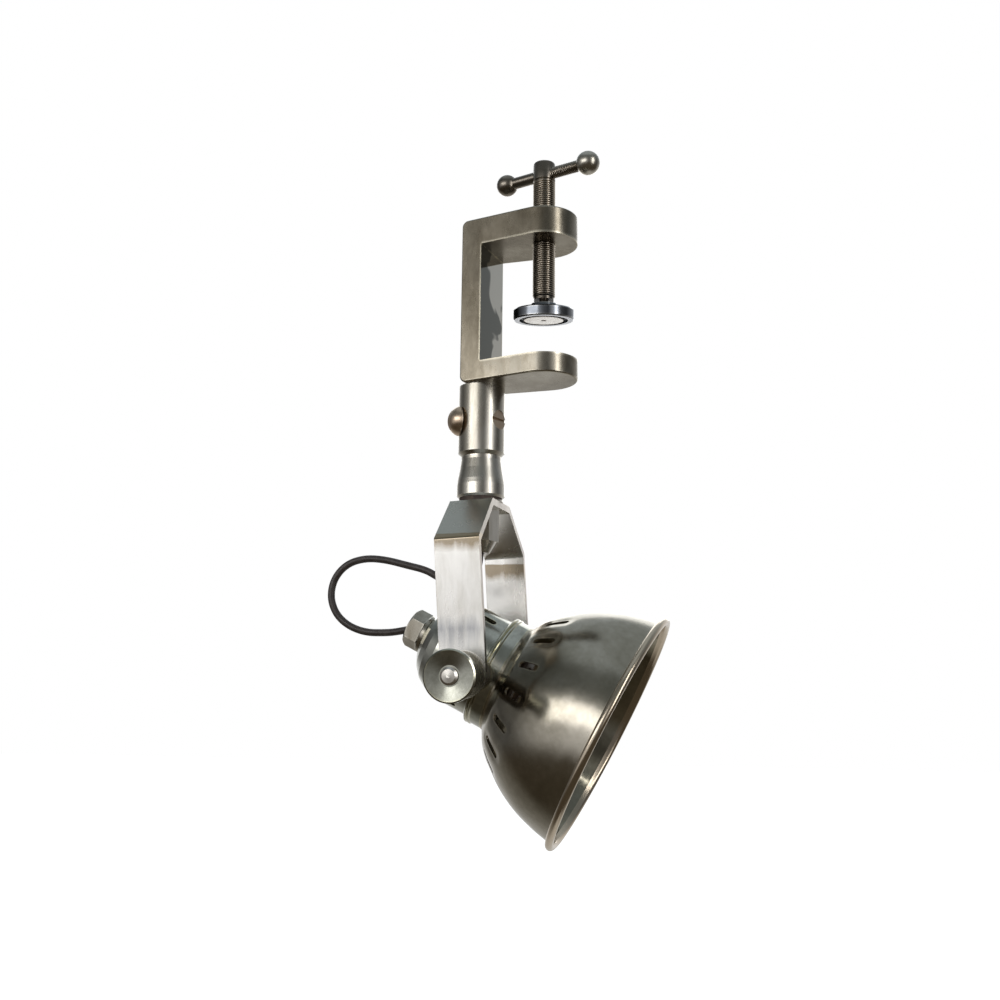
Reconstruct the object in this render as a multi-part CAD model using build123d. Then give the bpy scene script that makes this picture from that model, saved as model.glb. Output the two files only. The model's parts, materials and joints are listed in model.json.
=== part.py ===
"""Clip-on reading lamp: bench clamp, swivelling yoke and tilting slotted shade.

Units are millimetres, +Z is up. The origin is the centre of the lower jaw's gripping face, on the
clamp screw's axis; +X runs from the clamp's column out along the jaws.
"""

import math
import os

from build123d import *

os.makedirs("parts", exist_ok=True)

# ---------------------------------------------------------------- driving dimensions
# clamp frame
COLUMN_BACK = -35.2
COLUMN_INNER = -25.2
COLUMN_WIDTH = 23.0
JAW_TIP_R = 15.0
LOWER_JAW_T = 8.9
JAW_GAP = 54.4
UPPER_JAW_T = 12.5
FRAME_EDGE_R = 0.8
FRAME_CORNER_R = 3.0

# clamp screw, M10 x 1
SCREW_R = 5.0
SCREW_CLEARANCE = 0.05
THREAD_BOTTOM = 29.4
HEAD_BOTTOM = 84.2
HEAD_TOP = 94.0
HEAD_R = 5.0
BALL_Z = 24.0
BALL_R = 3.0
BALL_NECK_R = 2.0

# tommy bar
BAR_Z = 88.2
BAR_R = 2.6
BAR_AZIMUTH = -10.0
BAR_HALF = 21.2
BAR_SHIFT = 1.3
SMALL_BALL_R = 4.9
LARGE_BALL_R = 5.3

# pressure pad
PAD_R = 13.45
PAD_BOTTOM = 19.2
PAD_T = 4.8
PAD_BOSS_R = 6.4
PAD_BOSS_TOP = 26.6
PAD_TILT = 8.5
PAD_TILT_AZIMUTH = 21.1
GROOVE_OUTER_R = 10.8
GROOVE_INNER_R = 8.7
GROOVE_DEPTH = 1.6

# sleeve, neck and stem
STEM_X = -29.2
SLEEVE_R = 10.2
SLEEVE_BOTTOM = -40.8
SLEEVE_CHAMFER = 1.6
SPIGOT_R = 6.0
SPIGOT_TOP = -20.5
WIRE_BORE_R = 3.4
SIDE_SCREW_Z = -25.0
SIDE_SCREW_AZIMUTH = -14.0
LOCK_SCREW_AZIMUTH = -141.0
GRUB_R = 4.3
LOCK_HEAD_R = 6.6
NECK_WAIST_R = 8.8
NECK_R = 10.5
NECK_BOTTOM = -59.4
STEM_TUBE_R = 5.0
STEM_TUBE_TOP = -47.0
STEM_TUBE_BOTTOM = -74.0
STUD_R = 4.0
STUD_TOP = -3.4
STUD_BOTTOM = -18.0
SLEEVE_FLOOR = -19.0
SCREW_TIP_REACH = 5.2
GRUB_PIN_R = 2.0
GRUB_SEAT = 6.9
LOCK_SHANK_R = 2.5
LOCK_SEAT = 10.25
LOCK_SLOT_TURN = 80.0

# yoke, a bent flat strap
SWIVEL_REST = 10.6
YOKE_LEAN = -2.7
YOKE_ROLL = 4.4
PLATE_Z = -61.6
STRAP_W = 18.6
STRAP_T = 3.0
PLATE_HALF = 17.2
ARM_OUTER = 46.5
SHOULDER_DROP = 18.6
PIVOT_DROP = 73.1
ARM_END_RISE = 2.6
BEND_R = 1.5

# lower stem gland
STEM_NUT_AF = 14.0
STEM_NUT_TURN = 22.0
STEM_NUT_BOTTOM = -78.6
STEM_TAPER_BOTTOM = -83.6
STEM_TAPER_R = 4.2

# pivot hardware
PIVOT_R = 2.5
BOSS_R = 6.8
BOSS_REACH = 25.0
SPACER_R = 6.0
ARM_WASHER_R = 8.6
ARM_WASHER_T = 1.0
FACE_GAP = 0.1
KNOB_GAP = 0.05
FLANGE_R = 9.4
FLANGE_T = 2.0
HUB_R = 6.0
HUB_L = 15.0
KNOB_R = 10.3
KNOB_T = 4.6
BUTTON_R = 3.5
DISH_DEPTH = 0.9

# head: housing, collar and shade share one axis
TILT_REST = 30.4
AXIS_RISE = 1.6
HOUSING_R = 22.2
HOUSING_WALL = 1.2
HOUSING_REAR = -31.0
COLLAR_R = 24.0
COLLAR_REAR = 0.5
COLLAR_FRONT = 9.6
SHADE_WALL = 1.0
RIM_S = 57.2
RIM_R = 52.2
RIM_BEAD_R = 1.8
VENT_COUNT = 17
VENT_PHASE = -89.0
VENT_W = 2.9
VENT_L = 11.0
VENT_R = 35.6
VENT_S = 19.4
VENT_SLOPE = 49.3
HOUSING_SLOT_ANGLES = (30.0, 66.0, 114.0, 150.0)
HOUSING_SLOT_W = 3.0
HOUSING_SLOT_L = 13.0
HOUSING_SLOT_S = -11.0

# head gland and lampholder, E14
GLAND_NUT_AF = 15.0
GLAND_NUT_TURN = 0.0
GLAND_NUT_REAR = -40.0
GLAND_NUT_FRONT = -33.4
GLAND_SHOULDER = -33.3
GLAND_THREAD_R = 6.2
GLAND_MOUTH_R = 4.2
SEAL_REAR = -38.6
SEAL_FRONT = -37.2
NIPPLE_R = 5.0
NIPPLE_BORE_R = 3.6
HOLDER_R = 13.8
HOLDER_REAR = -19.0
HOLDER_FRONT = 15.0
E14_R = 6.9

# cord
CORD_R = 1.6
CORD_ENTRY_R = 2.2

# ---------------------------------------------------------------- shared frames
stem_axis = Location((STEM_X, 0, 0))
yoke_frame = (
    Location((STEM_X, 0, PLATE_Z))
    * Rotation(0, 0, SWIVEL_REST)
    * Rotation(0, YOKE_LEAN, 0)
    * Rotation(YOKE_ROLL, 0, 0)
)
pivot_frame = yoke_frame * Location((0, 0, -PIVOT_DROP)) * Rotation(0, TILT_REST, 0)
head_frame = pivot_frame * Location((0, 0, AXIS_RISE)) * Rotation(0, 90, 0)
pad_frame = (
    Location((0, 0, BALL_Z))
    * Rotation(0, 0, PAD_TILT_AZIMUTH)
    * Rotation(PAD_TILT, 0, 0)
    * Location((0, 0, -BALL_Z))
)
bar_frame = Location((0, 0, BAR_Z)) * Rotation(0, 0, BAR_AZIMUTH) * Rotation(0, 90, 0)


def cyl(radius, z0, z1):
    """Cylinder on the Z axis between two heights."""
    return Pos(0, 0, (z0 + z1) / 2) * Cylinder(radius, z1 - z0)


def tube(outer, inner, z0, z1):
    return cyl(outer, z0, z1) - cyl(inner, z0 - 1, z1 + 1)


def turned(points):
    """Solid of revolution about Z from (radius, height) points."""
    profile = make_face(Polyline([(r, 0, z) for r, z in points], close=True))
    return revolve(profile, Axis.Z)


def hex_bar(across_flats, z0, z1, chamfer_z=0.0):
    """Hexagonal bar; the high end can be turned to a cone as on a nut."""
    corner_r = across_flats / math.sqrt(3)
    bar = Pos(0, 0, z0) * extrude(RegularPolygon(corner_r, 6), z1 - z0)
    if chamfer_z > 0:
        flat_r = across_flats / 2
        top_r = corner_r + 1
        cone = turned([(0, z0), (top_r, z0), (top_r, z1 - chamfer_z), (flat_r, z1), (0, z1)])
        bar = bar & cone
    return bar


def save(name, shape):
    solids = shape if isinstance(shape, list) else shape.solids()
    out = solids[0] if len(solids) == 1 else Compound(children=list(solids))
    export_step(out, f"parts/{name}.step")
    print(f"{name}: {sum(s.volume for s in solids):.0f} mm3")


# ---------------------------------------------------------------- clamp
def jaw_plan():
    """Plan of the frame: straight column flank running tangent into the round jaw tip."""
    half = COLUMN_WIDTH / 2
    reach = math.hypot(COLUMN_BACK, half)
    bearing = math.atan2(-half, -COLUMN_BACK) + math.asin(JAW_TIP_R / reach)
    run = math.sqrt(reach**2 - JAW_TIP_R**2)
    tx = COLUMN_BACK + run * math.cos(bearing)
    ty = half + run * math.sin(bearing)
    edge = [
        Line((COLUMN_BACK, -half), (tx, -ty)),
        ThreePointArc((tx, -ty), (JAW_TIP_R, 0), (tx, ty)),
        Line((tx, ty), (COLUMN_BACK, half)),
        Line((COLUMN_BACK, half), (COLUMN_BACK, -half)),
    ]
    return make_face(edge)


frame_top = JAW_GAP + UPPER_JAW_T
frame_body = Pos(0, 0, -LOWER_JAW_T) * extrude(jaw_plan(), frame_top + LOWER_JAW_T)
throat_l = JAW_TIP_R + 10 - COLUMN_INNER
throat = Pos(COLUMN_INNER + throat_l / 2, 0, JAW_GAP / 2) * Box(throat_l, 60, JAW_GAP)
clamp_frame = frame_body - throat
back_corners = clamp_frame.edges().filter_by(Axis.Y).sort_by(Axis.X)[:2]
clamp_frame = fillet(back_corners, FRAME_CORNER_R)
outer_rim = clamp_frame.faces().sort_by(Axis.Z)[-1].edges()
outer_rim += clamp_frame.faces().sort_by(Axis.Z)[0].edges()
clamp_frame = fillet(outer_rim, FRAME_EDGE_R)
clamp_frame -= cyl(SCREW_R + SCREW_CLEARANCE, JAW_GAP - 1, frame_top + 1)
clamp_frame -= stem_axis * cyl(STUD_R, -LOWER_JAW_T - 1, STUD_TOP)
save("clamp_frame", clamp_frame)

# ---------------------------------------------------------------- sleeve and its screws
spigot_bore_r = SPIGOT_R + 0.05
sleeve = turned(
    [
        (spigot_bore_r, SLEEVE_BOTTOM),
        (SLEEVE_R - SLEEVE_CHAMFER, SLEEVE_BOTTOM),
        (SLEEVE_R, SLEEVE_BOTTOM + SLEEVE_CHAMFER),
        (SLEEVE_R, -LOWER_JAW_T),
        (STUD_R, -LOWER_JAW_T),
        (STUD_R, SLEEVE_FLOOR),
        (spigot_bore_r, SLEEVE_FLOOR),
    ]
)
# local Z of each frame runs out along its screw
side_height = Location((0, 0, SIDE_SCREW_Z))
side_axis = side_height * Rotation(0, 0, SIDE_SCREW_AZIMUTH) * Rotation(0, 90, 0)
lock_axis = side_height * Rotation(0, 0, LOCK_SCREW_AZIMUTH) * Rotation(0, 90, 0)
sleeve -= side_axis * cyl(GRUB_R, GRUB_SEAT, SLEEVE_R + 2)
sleeve -= side_axis * cyl(GRUB_PIN_R, SCREW_TIP_REACH - 0.2, GRUB_SEAT + 1)
sleeve -= lock_axis * cyl(LOCK_SHANK_R, SCREW_TIP_REACH - 0.2, SLEEVE_R + 2)
save("sleeve", stem_axis * sleeve)
save("sleeve_stud", stem_axis * cyl(STUD_R, STUD_BOTTOM, STUD_TOP))

grub_face = SLEEVE_R - 0.5
grub = cyl(GRUB_R, GRUB_SEAT, grub_face) + cyl(GRUB_PIN_R, SCREW_TIP_REACH, GRUB_SEAT)
grub -= Pos(0, 0, grub_face) * Box(1.4, 10, 2.4)
save("grub_screw", stem_axis * side_axis * grub)

dome_r = LOCK_HEAD_R + 0.4
lock = Pos(0, 0, LOCK_SEAT - 1.8) * Sphere(dome_r) & cyl(LOCK_HEAD_R, LOCK_SEAT, 20)
lock -= Pos(0, 0, LOCK_SEAT - 1.8 + dome_r) * Box(1.5, 20, 3.0)
lock += cyl(LOCK_SHANK_R, SCREW_TIP_REACH, LOCK_SEAT)
save("lock_screw", stem_axis * lock_axis * Rot(0, 0, LOCK_SLOT_TURN) * lock)

# ---------------------------------------------------------------- clamp screw
screw = cyl(SCREW_R, THREAD_BOTTOM, HEAD_BOTTOM)
screw += turned(
    [
        (0, HEAD_BOTTOM),
        (HEAD_R, HEAD_BOTTOM),
        (HEAD_R, HEAD_TOP - 1.2),
        (HEAD_R - 1.2, HEAD_TOP - 0.2),
        (0, HEAD_TOP),
    ]
)
screw += cyl(BALL_NECK_R, BALL_Z, THREAD_BOTTOM)
screw += Pos(0, 0, BALL_Z) * Sphere(BALL_R)
screw -= bar_frame * cyl(BAR_R + 0.05, -10, 10)
save("clamp_screw", screw)

bar_low = BAR_SHIFT - BAR_HALF
bar_high = BAR_SHIFT + BAR_HALF
save("tommy_bar", bar_frame * cyl(BAR_R, bar_low, bar_high))
for name, end, ball_r in (("bar_ball_small", bar_low, SMALL_BALL_R), ("bar_ball_large", bar_high, LARGE_BALL_R)):
    ball = Pos(0, 0, end) * Sphere(ball_r)
    ball -= cyl(BAR_R, bar_low, bar_high)
    save(name, bar_frame * ball)

# ---------------------------------------------------------------- pressure pad
pad = turned(
    [
        (0, PAD_BOTTOM),
        (PAD_R - 0.5, PAD_BOTTOM),
        (PAD_R, PAD_BOTTOM + 0.5),
        (PAD_R, PAD_BOTTOM + PAD_T - 0.6),
        (PAD_R - 0.6, PAD_BOTTOM + PAD_T),
        (PAD_BOSS_R, PAD_BOTTOM + PAD_T),
        (PAD_BOSS_R - 0.8, PAD_BOSS_TOP),
        (0, PAD_BOSS_TOP),
    ]
)
SOCKET_GAP = 0.1
pad -= Pos(0, 0, BALL_Z) * Sphere(BALL_R + SOCKET_GAP)
pad -= cyl(BALL_R - 0.15, BALL_Z, PAD_BOSS_TOP + 1)
insert_hole = cyl(GROOVE_OUTER_R, PAD_BOTTOM - 1, PAD_BOTTOM + GROOVE_DEPTH)
pad -= insert_hole
save("pressure_pad", pad_frame * pad)
pad_insert = tube(GROOVE_INNER_R, 1.2, PAD_BOTTOM, PAD_BOTTOM + GROOVE_DEPTH)
save("pad_insert", pad_frame * pad_insert)
save("thrust_washer", tube(4.4, BALL_NECK_R + 0.05, 28.2, THREAD_BOTTOM - 0.1))

# ---------------------------------------------------------------- neck
neck = turned(
    [
        (0, NECK_BOTTOM),
        (NECK_R - 0.9, NECK_BOTTOM),
        (NECK_R, NECK_BOTTOM + 0.9),
        (NECK_R, -53.6),
        (NECK_R - 0.25, -51.5),
        (NECK_WAIST_R + 0.55, -46.5),
        (NECK_WAIST_R, -42.5),
        (NECK_WAIST_R, SLEEVE_BOTTOM - 0.1),
        (SPIGOT_R, SLEEVE_BOTTOM - 0.1),
        (SPIGOT_R, SPIGOT_TOP),
        (0, SPIGOT_TOP),
    ]
)
neck -= cyl(WIRE_BORE_R, NECK_BOTTOM - 1, SPIGOT_TOP + 1)
neck -= cyl(STEM_TUBE_R, NECK_BOTTOM - 1, STEM_TUBE_TOP)
neck -= tube(SPIGOT_R + 1, 4.7, SIDE_SCREW_Z - 2.8, SIDE_SCREW_Z + 2.8)
save("neck", stem_axis * neck)

save("stem_tube", stem_axis * tube(STEM_TUBE_R, WIRE_BORE_R, STEM_TUBE_BOTTOM, STEM_TUBE_TOP))

# soft washer squeezed to a wedge, then a plain steel washer against the strap
wedge = stem_axis * tube(9.4, STEM_TUBE_R, PLATE_Z - 4, NECK_BOTTOM)
steel_washer = yoke_frame * tube(9.8, STEM_TUBE_R + 0.6, 0, 0.9)
below = yoke_frame * Pos(0, 0, -20 + 0.9) * Box(80, 80, 40)
save("fibre_washer", wedge - below)
save("steel_washer", steel_washer)


# ---------------------------------------------------------------- yoke
def strap_section():
    """Side view of the strap: outer line down one arm, across the plate and down the other."""
    arm_foot = -PIVOT_DROP - 12
    outer = [
        (-ARM_OUTER, arm_foot),
        (-ARM_OUTER, -SHOULDER_DROP),
        (-PLATE_HALF, 0),
        (PLATE_HALF, 0),
        (ARM_OUTER, -SHOULDER_DROP),
        (ARM_OUTER, arm_foot),
    ]
    slope = math.atan2(SHOULDER_DROP, ARM_OUTER - PLATE_HALF)
    low_in = STRAP_T * math.tan((math.pi / 2 - slope) / 2)
    top_in = STRAP_T * math.tan(slope / 2)
    inner_arm = ARM_OUTER - STRAP_T
    inner = [
        (inner_arm, arm_foot),
        (inner_arm, -SHOULDER_DROP - low_in),
        (PLATE_HALF - top_in, -STRAP_T),
        (top_in - PLATE_HALF, -STRAP_T),
        (-inner_arm, -SHOULDER_DROP - low_in),
        (-inner_arm, arm_foot),
    ]
    ring = Polyline([(0, u, w) for u, w in outer + inner], close=True)
    return make_face(ring)


strap = extrude(strap_section(), STRAP_W / 2, dir=(1, 0, 0), both=True)
bend_edges = strap.edges().filter_by(Axis.X).filter_by(lambda e: e.center().Z > -PIVOT_DROP)
strap = fillet(bend_edges, BEND_R)
arm_end_z = -PIVOT_DROP + ARM_END_RISE
end_round = Pos(0, 0, arm_end_z) * Rot(90, 0, 0) * Cylinder(STRAP_W / 2, 120)
strap_keep = Pos(0, 0, arm_end_z + 60) * Box(40, 120, 120) + end_round
strap = strap & strap_keep
strap -= Pos(0, 0, -PIVOT_DROP) * Rot(90, 0, 0) * Cylinder(PIVOT_R + 0.05, 120)
strap -= cyl(STEM_TUBE_R + 0.6, -STRAP_T - 1, 1)
save("yoke_strap", yoke_frame * strap)

# gland nut on the stem, trimmed to seat flat on the leaning strap
nut_blank_h = PLATE_Z - STEM_NUT_BOTTOM
stem_nut = Pos(0, 0, STEM_NUT_BOTTOM) * Rot(0, 0, STEM_NUT_TURN) * hex_bar(STEM_NUT_AF, 0, nut_blank_h)
stem_nut += turned(
    [
        (0, STEM_NUT_BOTTOM),
        (STEM_NUT_AF / 2, STEM_NUT_BOTTOM),
        (STEM_TAPER_R, STEM_TAPER_BOTTOM),
        (0, STEM_TAPER_BOTTOM),
    ]
)
stem_nut -= cyl(STEM_TUBE_R, STEM_TUBE_BOTTOM, PLATE_Z + 1)
stem_nut -= cyl(WIRE_BORE_R, STEM_NUT_BOTTOM, STEM_TUBE_BOTTOM + 1)
stem_nut -= cyl(CORD_ENTRY_R, STEM_TAPER_BOTTOM - 1, STEM_NUT_BOTTOM + 1)
strap_and_above = yoke_frame * Pos(0, 0, 20 - STRAP_T) * Box(80, 80, 40)
save("stem_gland_nut", stem_axis * stem_nut - strap_and_above)
stem_seal_face = STEM_TAPER_BOTTOM + 0.4
save("stem_gland_seal", stem_axis * tube(CORD_ENTRY_R, 1.0, stem_seal_face, STEM_NUT_BOTTOM))

# ---------------------------------------------------------------- housing, collar and shade
dome = [
    (HOUSING_R, COLLAR_FRONT),
    (HOUSING_R, -13.0),
    (HOUSING_R - 0.4, -17.0),
    (HOUSING_R - 1.6, -21.0),
    (HOUSING_R - 3.9, -25.0),
    (HOUSING_R - 7.3, -28.2),
    (11.5, -30.2),
    (8.5, HOUSING_REAR),
]
inner_dome = [(r - HOUSING_WALL, s) for r, s in dome[:5]]
housing = turned(
    dome
    + [(NIPPLE_R, HOUSING_REAR), (NIPPLE_R, HOUSING_REAR + 1.6), (10.6, -28.6), (14.2, -26.7)]
    + inner_dome[::-1]
)
slot_cut = Rot(0, 90, 0) * extrude(SlotOverall(HOUSING_SLOT_L, HOUSING_SLOT_W), 30)
for angle in HOUSING_SLOT_ANGLES:
    for side in (1, -1):
        housing -= Rot(0, 0, 180 + side * angle) * Pos(0, 0, HOUSING_SLOT_S) * slot_cut
# flat-ended bosses on the housing's flanks carry the pivot spacers; the pivot lies below the head's axis
spacer_axis = Location((AXIS_RISE, 0, 0)) * Rotation(-90, 0, 0)
boss_pair = spacer_axis * cyl(BOSS_R, -BOSS_REACH, BOSS_REACH) - cyl(HOUSING_R - 0.6, -60, 60)
housing += boss_pair
housing -= spacer_axis * cyl(PIVOT_R, -40, 40)
save("housing", head_frame * housing)

collar = turned(
    [
        (HOUSING_R, COLLAR_REAR),
        (COLLAR_R - 0.2, COLLAR_REAR),
        (COLLAR_R + 0.5, COLLAR_REAR + 0.5),
        (COLLAR_R + 0.5, COLLAR_REAR + 1.0),
        (COLLAR_R - 0.1, COLLAR_REAR + 1.5),
        (COLLAR_R + 0.5, COLLAR_REAR + 2.0),
        (COLLAR_R + 0.5, COLLAR_REAR + 2.5),
        (COLLAR_R, COLLAR_REAR + 3.0),
        (COLLAR_R, COLLAR_FRONT - 1.0),
        (HOUSING_R, COLLAR_FRONT - 1.0),
    ]
)
collar -= spacer_axis * cyl(BOSS_R + 0.05, -60, 60)
save("collar", head_frame * collar)

shade_outer = [
    (24.3, COLLAR_FRONT),
    (26.2, 10.8),
    (30.6, 13.6),
    (34.4, 17.4),
    (37.7, 21.6),
    (40.9, 26.0),
    (43.8, 31.0),
    (46.2, 36.2),
    (48.1, 41.6),
    (49.8, 48.4),
    (50.9, 54.6),
    (51.2, RIM_S),
]


def wall_inside(points, thickness):
    """The outline moved inwards by the wall thickness, square to the outline at each point."""
    inside = []
    for i, (r, s) in enumerate(points):
        r_a, s_a = points[max(i - 1, 0)]
        r_b, s_b = points[min(i + 1, len(points) - 1)]
        span = math.hypot(r_b - r_a, s_b - s_a)
        inside.append((r - thickness * (s_b - s_a) / span, s + thickness * (r_b - r_a) / span))
    return inside


shade_inner = wall_inside(shade_outer, SHADE_WALL)
shade_inner[0] = (HOUSING_R, COLLAR_FRONT + SHADE_WALL)
shade_inner[-1] = (shade_inner[-1][0], RIM_S)
mouth = [(HOUSING_R, COLLAR_FRONT - 1.0), (24.3, COLLAR_FRONT - 1.0)]
shade = turned(mouth + shade_outer + shade_inner[::-1])
shade += Pos(0, 0, RIM_S) * Torus(RIM_R, RIM_BEAD_R)
vent_cut = Rot(0, -VENT_SLOPE - 90, 0) * extrude(SlotOverall(VENT_L, VENT_W), 4, both=True)
for k in range(VENT_COUNT):
    shade -= Rot(0, 0, VENT_PHASE + 360 * k / VENT_COUNT) * Pos(VENT_R, 0, VENT_S) * vent_cut
save("shade", head_frame * shade)

# ---------------------------------------------------------------- head gland and lampholder
gland_body = turned(
    [
        (NIPPLE_R, GLAND_SHOULDER),
        (8.2, GLAND_SHOULDER),
        (8.6, -32.8),
        (8.6, -31.6),
        (8.2, HOUSING_REAR),
        (NIPPLE_R, HOUSING_REAR),
    ]
)
gland_body += tube(GLAND_THREAD_R, NIPPLE_R, SEAL_FRONT, GLAND_SHOULDER)
save("gland_body", head_frame * gland_body)
nut_blank = hex_bar(GLAND_NUT_AF, -GLAND_NUT_FRONT, -GLAND_NUT_REAR, 2.0)
gland_nut = Rot(180, 0, 0) * Rot(0, 0, GLAND_NUT_TURN) * nut_blank
gland_nut -= cyl(GLAND_THREAD_R, SEAL_REAR, GLAND_NUT_FRONT + 1)
gland_nut -= cyl(GLAND_MOUTH_R, GLAND_NUT_REAR - 1, SEAL_REAR + 1)
save("gland_nut", head_frame * gland_nut)
save("gland_seal", head_frame * tube(GLAND_THREAD_R, CORD_R + 0.1, SEAL_REAR, SEAL_FRONT))
save("nipple", head_frame * tube(NIPPLE_R, NIPPLE_BORE_R, SEAL_FRONT, -14.0))
save("nipple_locknut", head_frame * (hex_bar(14, -28.6, -25.6) - cyl(NIPPLE_R, -40, 0)))

holder_body = turned(
    [
        (NIPPLE_R, HOLDER_REAR),
        (9.0, HOLDER_REAR),
        (HOLDER_R, HOLDER_REAR + 5),
        (HOLDER_R, HOLDER_FRONT - 1),
        (HOLDER_R - 1, HOLDER_FRONT),
        (8.4, HOLDER_FRONT),
        (8.4, -9.0),
        (NIPPLE_R, -9.0),
    ]
)
TERMINAL_R = 1.4
terminal_sides = (6.7, -6.7)
for side in terminal_sides:
    holder_body -= Pos(0, side, 0) * cyl(TERMINAL_R, -13.4, -8.0)
save("lampholder_body", head_frame * holder_body)
save("lamp_thread_shell", head_frame * tube(8.4, E14_R, -5.0, 13.0))
contact_base = tube(8.4, 2.0, -9.0, -7.0)
save("contact_base", head_frame * contact_base)
contact = cyl(2.0, -9.0, -6.4) + Pos(0, 0, -5.9) * Box(6.0, 3.0, 1.0)
save("centre_contact", head_frame * contact)
ring_nut = tube(16.0, HOLDER_R, 4.0, 8.0)
save("lampholder_ring", head_frame * ring_nut)
terminal = cyl(TERMINAL_R, -13.4, -9.0)
save("terminal_screws", [head_frame * Pos(0, side, 0) * terminal for side in terminal_sides])

# ---------------------------------------------------------------- pivot hardware, one set each side
arm_inner = ARM_OUTER - STRAP_T
spacer_end = arm_inner - ARM_WASHER_T - FACE_GAP
out_face = ARM_OUTER + FACE_GAP
hub_0 = out_face + FLANGE_T
knob_0 = hub_0 + KNOB_GAP
knob_disc = knob_0 + HUB_L
knob_face = knob_disc + KNOB_T
dish_z = knob_face - DISH_DEPTH
spacer = tube(SPACER_R, PIVOT_R, BOSS_REACH, spacer_end)
arm_washer = tube(ARM_WASHER_R, PIVOT_R, spacer_end, arm_inner - FACE_GAP)
flange = tube(FLANGE_R, PIVOT_R, out_face, hub_0)
# a turned knob: plain hub running out into a thick disc with a dished face
knob = turned(
    [
        (PIVOT_R + KNOB_GAP, knob_0),
        (HUB_R, knob_0),
        (HUB_R, knob_disc),
        (KNOB_R - 1.6, knob_disc),
        (KNOB_R, knob_disc + 1.6),
        (KNOB_R, knob_face - 0.5),
        (KNOB_R - 0.6, knob_face),
        (BUTTON_R + 0.6, dish_z),
        (PIVOT_R + KNOB_GAP, dish_z),
    ]
)
button_z = dish_z + KNOB_GAP
pivot_bolt = cyl(PIVOT_R, HOUSING_R - 1.5, button_z)
pivot_bolt += turned(
    [
        (0, button_z),
        (BUTTON_R, button_z),
        (BUTTON_R, knob_face),
        (BUTTON_R - 0.9, knob_face + 0.7),
        (0, knob_face + 1.0),
    ]
)
rear_side = Rotation(-90, 0, 0)
front_side = Rotation(90, 0, 0)
for name, piece in (
    ("pivot_spacers", spacer),
    ("arm_washers", arm_washer),
    ("knob_flanges", flange),
    ("pivot_bolts", pivot_bolt),
):
    save(name, [pivot_frame * rear_side * piece, pivot_frame * front_side * piece])
save("tilt_knob_rear", pivot_frame * rear_side * knob)
save("tilt_knob_front", pivot_frame * front_side * knob)

# ---------------------------------------------------------------- cord
# A slack loop from the stem gland to the mouth of the head gland. Its points lie near the upright
# plane through the stem that faces along the yoke: (outwards, sideways, height).
cord_plane = stem_axis * Rotation(0, 0, SWIVEL_REST)
cord_points = [
    (0.0, 0.0, stem_seal_face),
    (0.0, 0.0, -87.0),
    (-1.3, 0.1, -90.6),
    (-3.7, 0.3, -93.5),
    (-6.9, 0.5, -95.4),
    (-10.6, 0.7, -96.2),
    (-14.4, 0.9, -95.7),
    (-19.5, 1.2, -93.0),
    (-24.6, 1.4, -90.0),
    (-33.5, 1.8, -87.7),
    (-42.9, 2.1, -85.1),
    (-52.7, 2.4, -84.0),
    (-61.6, 2.6, -86.3),
    (-67.5, 2.7, -92.8),
    (-69.0, 2.8, -101.2),
    (-66.0, 2.9, -108.9),
    (-59.9, 3.1, -114.2),
    (-52.0, 3.3, -117.0),
    (-43.7, 3.6, -117.2),
    (-37.7, 3.8, -116.8),
    (-31.7, 4.0, -115.6),
]
runs = [math.dist(a, b) for a, b in zip(cord_points, cord_points[1:])]
radii = []
for i in range(1, len(cord_points) - 1):
    before = Vector(*cord_points[i]) - Vector(*cord_points[i - 1])
    after = Vector(*cord_points[i + 1]) - Vector(*cord_points[i])
    turn = math.radians(before.get_angle(after))
    radii.append(0.45 * min(runs[i - 1], runs[i]) / math.tan(turn / 2))
cord_line = FilletPolyline(*cord_points, radius=radii)
cord_section = Plane(cord_line @ 0, z_dir=cord_line % 0) * Circle(CORD_R)
cord = sweep(cord_section, path=cord_line)
drawn_volume = cord_line.length * math.pi * CORD_R**2
print("cord runs", [round(x, 1) for x in runs])
print("cord radii", [round(x, 1) for x in radii])
print("cord length", round(cord_line.length, 1), "volume ratio", round(cord.volume / drawn_volume, 3))
save("cord_loop", cord_plane * cord)
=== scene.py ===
"""Looks for the clamp reading lamp: camera, studio, cord, detailed meshes and procedural metals.

Everything is in metres, in the same frame as the CAD model.
"""

import json
import math

import bmesh
import bpy
from mathutils import Matrix, Vector


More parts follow.
